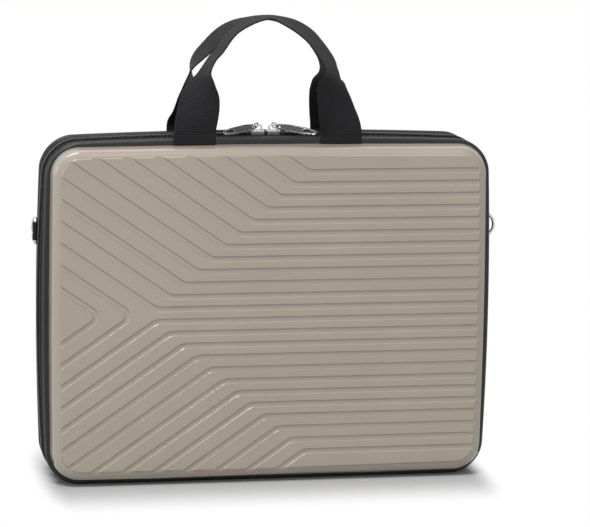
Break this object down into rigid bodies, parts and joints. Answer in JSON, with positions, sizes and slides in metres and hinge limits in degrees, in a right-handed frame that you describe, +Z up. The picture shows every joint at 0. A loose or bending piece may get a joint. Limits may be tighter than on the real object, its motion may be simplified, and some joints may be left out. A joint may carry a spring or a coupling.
{
  "type": "zip-around hard laptop case",
  "caption": "Clamshell laptop case with ribbed moulded shells, a zip closing round three sides, webbing carrying handles and swinging side rings.",
  "frame": {"origin": "on the resting face under the spine, midway across the case and midway between its two halves", "axes": "X across the case to the right, Y from the front shell to the rear shell, Z up from the spine to the handles; the case is closed and standing"},
  "size_m": [0.4331, 0.0924, 0.4238],
  "materials": {
    "front_shell": "satin moulded polycarbonate",
    "rear_shell": "satin moulded polycarbonate",
    "front_piping": "black cord piping, slightly shiny",
    "front_band": "black woven nylon",
    "front_zip_tape": "black woven tape",
    "front_zip_coil": "black nylon coil",
    "front_zip_stops": "black moulded nylon",
    "front_lining": "dark woven lining on foam",
    "front_spine": "black coated nylon",
    "front_handle": "black ribbed webbing",
    "front_handle_ends": "black ribbed webbing",
    "rear_piping": "black cord piping, slightly shiny",
    "rear_band": "black woven nylon",
    "rear_zip_tape": "black woven tape",
    "rear_zip_coil": "black nylon coil",
    "rear_zip_stops": "black moulded nylon",
    "rear_lining": "dark woven lining on foam",
    "rear_spine": "black coated nylon",
    "rear_handle": "black ribbed webbing",
    "rear_handle_ends": "black ribbed webbing",
    "front_pocket": "dark lining fabric",
    "corner_straps": "black elastic",
    "slider_left": "polished die-cast zinc",
    "pull_link_left": "bright steel wire",
    "pull_tab_left": "satin die-cast zinc",
    "ring_left": "polished steel wire",
    "ring_loop_left": "black webbing",
    "slider_right": "polished die-cast zinc",
    "pull_link_right": "bright steel wire",
    "pull_tab_right": "satin die-cast zinc",
    "ring_right": "polished steel wire",
    "ring_loop_right": "black webbing"
  },
  "bodies": {
    "rear_half": {"rear_shell": "rear_shell", "rear_piping": "rear_piping", "rear_band": "rear_band", "rear_zip_tape": "rear_zip_tape", "rear_zip_coil": "rear_zip_coil", "rear_zip_stops": "rear_zip_stops", "rear_lining": "rear_lining", "rear_spine": "rear_spine", "rear_handle_ends": "rear_handle_ends", "corner_straps": "corner_straps", "ring_loop_left": "ring_loop_left", "ring_loop_right": "ring_loop_right"},
    "front_half": {"front_shell": "front_shell", "front_piping": "front_piping", "front_band": "front_band", "front_zip_tape": "front_zip_tape", "front_zip_coil": "front_zip_coil", "front_zip_stops": "front_zip_stops", "front_lining": "front_lining", "front_spine": "front_spine", "front_handle_ends": "front_handle_ends", "front_pocket": "front_pocket"},
    "left_slider": {"slider_left": "slider_left"},
    "right_slider": {"slider_right": "slider_right"},
    "left_pull": {"pull_link_left": "pull_link_left", "pull_tab_left": "pull_tab_left"},
    "right_pull": {"pull_link_right": "pull_link_right", "pull_tab_right": "pull_tab_right"},
    "front_carrying_handle": {"front_handle": "front_handle"},
    "rear_carrying_handle": {"rear_handle": "rear_handle"},
    "left_ring": {"ring_left": "ring_left"},
    "right_ring": {"ring_right": "ring_right"}
  },
  "joints": [
    {"name": "front_half_opens", "type": "hinge", "parent": "rear_half", "child": "front_half", "pos_m": [0, -0.002, -0.0002], "axis": [1, 0, 0], "range_deg": [0, 180]},
    {"name": "left_slider_travel", "type": "hinge", "parent": "rear_half", "child": "left_slider", "pos_m": [0, 0, -3.61354], "axis": [0, -1, 0], "range_deg": [0, 2.18]},
    {"name": "right_slider_travel", "type": "hinge", "parent": "rear_half", "child": "right_slider", "pos_m": [0, 0, -3.61354], "axis": [0, 1, 0], "range_deg": [0, 2.18]},
    {"name": "left_pull_swing", "type": "hinge", "parent": "left_slider", "child": "left_pull", "pos_m": [-0.0075, 0, 0.32305], "axis": [-1, 0, 0], "range_deg": [0, 100]},
    {"name": "right_pull_swing", "type": "hinge", "parent": "right_slider", "child": "right_pull", "pos_m": [0.0075, 0, 0.32305], "axis": [-1, 0, 0], "range_deg": [0, 100]},
    {"name": "front_handle_fold", "type": "hinge", "parent": "front_half", "child": "front_carrying_handle", "pos_m": [0, -0.0331, 0.3174], "axis": [1, 0, 0], "range_deg": [0, 100]},
    {"name": "rear_handle_fold", "type": "hinge", "parent": "rear_half", "child": "rear_carrying_handle", "pos_m": [0, 0.0331, 0.3174], "axis": [-1, 0, 0], "range_deg": [0, 100]},
    {"name": "left_ring_swing", "type": "hinge", "parent": "rear_half", "child": "left_ring", "pos_m": [-0.20729, 0.018, 0.226], "axis": [0, 0, 1], "range_deg": [0, 155]},
    {"name": "right_ring_swing", "type": "hinge", "parent": "rear_half", "child": "right_ring", "pos_m": [0.20729, 0.018, 0.226], "axis": [0, 0, 1], "range_deg": [-70, 85]}
  ]
}
